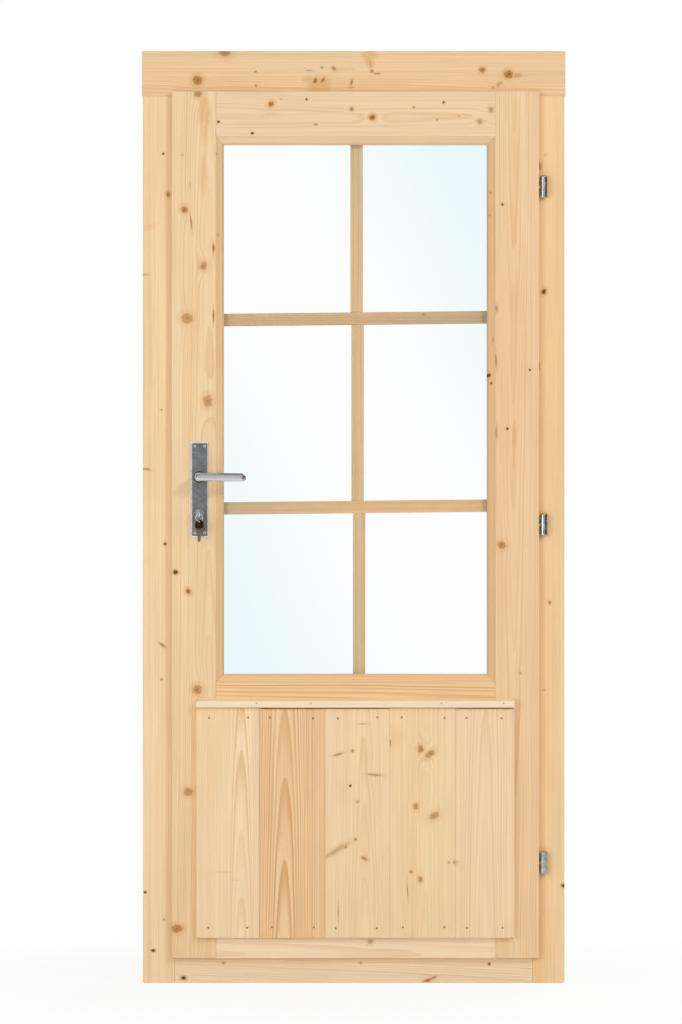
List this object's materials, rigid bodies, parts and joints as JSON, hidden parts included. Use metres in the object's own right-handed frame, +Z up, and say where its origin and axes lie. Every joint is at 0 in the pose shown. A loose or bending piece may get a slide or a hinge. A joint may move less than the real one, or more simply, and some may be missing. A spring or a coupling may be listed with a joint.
{
  "type": "cabin door with frame",
  "caption": "Half-glazed pine cabin door hung in its frame: lipped leaf with glazing bars, boarded lower panel, lever handles, mortise lock and barrel hinges.",
  "frame": {"origin": "middle of the underside of the frame, half way through its depth", "axes": "+X along the wall towards the hinges, +Y indoors, +Z up"},
  "size_m": [0.85, 0.1503, 1.87],
  "materials": {
    "frame_pine": "planed, knotty, untreated",
    "leaf_pine": "planed, knotty, untreated",
    "panel_pine": "planed, knotty, untreated",
    "bar_pine": "planed, untreated",
    "glass": "clear float glass",
    "plate_steel": "brushed, dark grey",
    "lever_metal": "satin",
    "zinc": "bright zinc plate",
    "brass": "worn brass",
    "nail_iron": "dull"
  },
  "bodies": {
    "frame": {"left_jamb": "frame_pine", "right_jamb": "frame_pine", "head": "frame_pine", "threshold": "frame_pine", "frame_screws": "zinc", "strike_plate": "zinc", "strike_screws": "zinc", "hinge_1_frame_knuckles": "zinc", "hinge_1_pin": "zinc", "hinge_2_frame_knuckles": "zinc", "hinge_2_pin": "zinc", "hinge_3_frame_knuckles": "zinc", "hinge_3_pin": "zinc"},
    "leaf": {"left_stile": "leaf_pine", "right_stile": "leaf_pine", "top_rail": "leaf_pine", "mid_rail": "leaf_pine", "bottom_rail": "leaf_pine", "glass_pane": "glass", "bead_top": "leaf_pine", "bead_bottom": "leaf_pine", "bead_left": "leaf_pine", "bead_right": "leaf_pine", "bead_pins": "nail_iron", "cross_bar_upper": "bar_pine", "cross_bar_lower": "bar_pine", "upright_bar_top": "bar_pine", "upright_bar_middle": "bar_pine", "upright_bar_bottom": "bar_pine", "panel_board_1": "panel_pine", "panel_board_2": "panel_pine", "panel_board_3": "panel_pine", "panel_board_4": "panel_pine", "panel_board_5": "panel_pine", "drip_strip": "panel_pine", "panel_nails": "nail_iron", "hinge_1_leaf_knuckle": "zinc", "hinge_2_leaf_knuckle": "zinc", "hinge_3_leaf_knuckle": "zinc", "lock_case": "zinc", "lock_cover": "zinc", "lock_faceplate": "zinc", "faceplate_screws": "zinc", "outer_backplate": "plate_steel", "inner_backplate": "plate_steel", "backplate_screws": "plate_steel", "lock_cylinder": "brass", "cylinder_screw": "zinc"},
    "handle": {"outer_lever": "lever_metal", "inner_lever": "lever_metal", "spindle": "zinc", "lock_follower": "zinc", "lever_grub_screws": "zinc"},
    "latch": {"latch_bolt": "zinc"},
    "bolt": {"deadbolt": "zinc"},
    "turning_key": {"cylinder_plug": "brass", "key": "brass", "key_ring": "zinc", "spare_key": "brass"}
  },
  "joints": [
    {"name": "leaf_swing", "type": "hinge", "parent": "frame", "child": "leaf", "pos_m": [0.381, -0.0503, 0], "axis": [0, 0, 1], "range_deg": [0, 170]},
    {"name": "handle_turn", "type": "hinge", "parent": "leaf", "child": "handle", "pos_m": [-0.3085, -0.0278, 1.015], "axis": [0, 1, 0], "range_deg": [0, 40], "stiffness_Nm_per_rad": 1.2, "springref_deg": -20.05},
    {"name": "latch_slide", "type": "slide", "parent": "leaf", "child": "latch", "axis": [1, 0, 0], "range_m": [0, 0.011]},
    {"name": "key_turn", "type": "hinge", "parent": "leaf", "child": "turning_key", "pos_m": [-0.3085, -0.0278, 0.943], "axis": [0, -1, 0], "range_deg": [0, 360]},
    {"name": "deadbolt_slide", "type": "slide", "parent": "leaf", "child": "bolt", "axis": [-1, 0, 0], "range_m": [0, 0.02]}
  ],
  "couplings": [
    {"joint": "latch_slide", "follows": "handle_turn", "m_per_rad": 0.015756},
    {"joint": "key_turn", "follows": "deadbolt_slide", "rad_per_m": 314.16}
  ]
}
